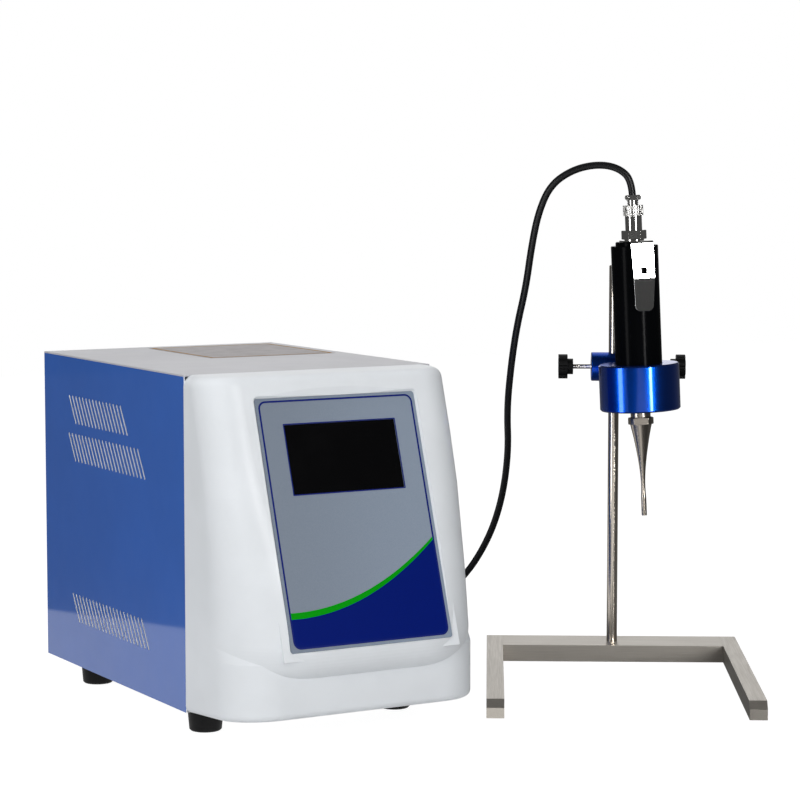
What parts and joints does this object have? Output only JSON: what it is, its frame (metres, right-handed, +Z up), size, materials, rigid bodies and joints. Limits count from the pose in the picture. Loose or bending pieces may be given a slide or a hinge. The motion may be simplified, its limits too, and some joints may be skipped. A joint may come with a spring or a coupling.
{
  "type": "probe sonicator",
  "caption": "Bench ultrasonic probe sonicator: upright generator with touch screen, U-base stand, sliding clamp and ring, handpiece with tapered horn, and its lead.",
  "frame": {"origin": "on the bench, under the middle of the set's box, measured without the lead and its plug", "axes": "+Z up; the generator faces -Y with its rear panel towards +Y; the stand is to its right, towards +X"},
  "size_m": [0.7422, 0.7326, 0.571],
  "materials": {
    "side_blue": "satin blue enamel on steel sheet",
    "lid_grey": "light grey enamel on steel sheet",
    "pan_steel": "zinc-plated steel sheet",
    "label_grey": "plain grey label with a yellow edge",
    "bezel_white": "white moulded plastic, fine satin",
    "panel_silver": "silver printed front panel",
    "screen_black": "black glass",
    "board_green": "coated circuit board",
    "foot_rubber": "black moulded rubber",
    "zinc_steel": "plated screw steel",
    "fan_black": "black glass-filled plastic",
    "fitting_black": "black moulded fitting",
    "transformer_tape": "taped toroid winding",
    "ferrite": "ferrite core and winding",
    "heat_sink_alu": "extruded aluminium",
    "nickel": "bright nickel plating",
    "stainless": "brushed stainless steel",
    "rod_chrome": "polished stainless rod",
    "anodised_blue": "blue anodised aluminium",
    "knob_black": "black phenolic knob on a steel screw",
    "barrel_black": "black anodised barrel",
    "titanium": "turned titanium alloy",
    "stack_alu": "turned aluminium driver",
    "ceramic": "piezo ceramic rings with copper electrodes",
    "mass_steel": "turned steel",
    "lead_black": "black flexible lead jacket"
  },
  "bodies": {
    "set": {"base_pan": "pan_steel", "side_panel_left": "side_blue", "side_panel_right": "side_blue", "lid_panel": "lid_grey", "rear_panel": "lid_grey", "lid_label": "label_grey", "front_bezel": "bezel_white", "front_panel": "panel_silver", "touch_screen": "screen_black", "display_board": "board_green", "fan_frame": "fan_black", "fan_guard": "zinc_steel", "mains_inlet": "fitting_black", "switch_frame": "fitting_black", "fuse_holder": "fitting_black", "output_socket": "nickel", "plug_body": "nickel", "plug_strain_relief": "lead_black", "mains_transformer": "transformer_tape", "power_board": "board_green", "output_transformer": "ferrite", "heat_sink": "heat_sink_alu", "base_rear_bar": "stainless", "base_arm_left": "stainless", "base_arm_right": "stainless", "rod": "rod_chrome", "rod_screw": "zinc_steel", "lead_lower": "lead_black", "foot_front_left": "foot_rubber", "foot_screw_front_left": "zinc_steel", "foot_front_right": "foot_rubber", "foot_screw_front_right": "zinc_steel", "foot_rear_left": "foot_rubber", "foot_screw_rear_left": "zinc_steel", "foot_rear_right": "foot_rubber", "foot_screw_rear_right": "zinc_steel"},
    "fan": {"fan_rotor": "fan_black"},
    "rocker": {"power_rocker": "fitting_black"},
    "fuse": {"fuse_cap": "fitting_black"},
    "plug_lock": {"plug_ring": "nickel"},
    "clamp": {"clamp_boss": "anodised_blue", "lead_middle": "lead_black"},
    "rod_screw_knob": {"rod_thumb_screw": "knob_black"},
    "stem_screw_knob": {"stem_thumb_screw": "knob_black"},
    "ring": {"holding_ring": "anodised_blue", "ring_stem": "stainless", "lead_upper": "lead_black"},
    "handpiece": {"handpiece_barrel": "barrel_black", "handpiece_cap": "barrel_black", "hanging_clip": "nickel", "handpiece_socket": "nickel", "socket_nut": "nickel", "plug_neck": "nickel", "saddle_bar": "nickel", "stack_driver": "stack_alu", "piezo_stack": "ceramic", "rear_mass": "mass_steel", "stack_bolt": "zinc_steel"},
    "coupler": {"coupling_ring": "nickel"},
    "horn": {"horn": "titanium"}
  },
  "joints": [
    {"name": "fan_spin", "type": "hinge", "parent": "set", "child": "fan", "pos_m": [-0.29255, 0.27428, 0.24], "axis": [0, 1, 0], "continuous": true},
    {"name": "rocker_tilt", "type": "hinge", "parent": "set", "child": "rocker", "pos_m": [-0.26055, 0.28478, 0.08], "axis": [1, 0, 0], "range_deg": [0, 20]},
    {"name": "fuse_cap_turn", "type": "hinge", "parent": "set", "child": "fuse", "pos_m": [-0.21555, 0.28828, 0.08], "axis": [0, 1, 0], "continuous": true},
    {"name": "plug_ring_turn", "type": "hinge", "parent": "set", "child": "plug_lock", "pos_m": [-0.13455, 0.29528, 0.084], "axis": [0, 1, 0], "continuous": true},
    {"name": "clamp_height", "type": "slide", "parent": "set", "child": "clamp", "axis": [0, 0, 1], "range_m": [-0.165, 0.09], "deforming": ["lead_lower"]},
    {"name": "rod_screw_turn", "type": "hinge", "parent": "clamp", "child": "rod_screw_knob", "pos_m": [0.19831, 0.07869, 0.337], "axis": [0.8508, -0.5255, 0], "continuous": true},
    {"name": "stem_screw_turn", "type": "hinge", "parent": "clamp", "child": "stem_screw_knob", "pos_m": [0.2834, 0.02615, 0.337], "axis": [0.8508, -0.5255, 0], "continuous": true},
    {"name": "ring_lean", "type": "hinge", "parent": "clamp", "child": "ring", "pos_m": [0.21894, -0.01161, 0.337], "axis": [0.5255, 0.8508, 0], "range_deg": [-30, 30], "deforming": ["lead_middle"]},
    {"name": "handpiece_lift", "type": "slide", "parent": "ring", "child": "handpiece", "axis": [-0.0386, 0.0238, 0.999], "range_m": [0, 0.055], "deforming": ["lead_upper"]},
    {"name": "coupling_turn", "type": "hinge", "parent": "handpiece", "child": "coupler", "pos_m": [0.21894, -0.01161, 0.337], "axis": [-0.0386, 0.0238, 0.999], "continuous": true},
    {"name": "horn_turn", "type": "hinge", "parent": "handpiece", "child": "horn", "pos_m": [0.21894, -0.01161, 0.337], "axis": [-0.0386, 0.0238, 0.999], "continuous": true}
  ]
}
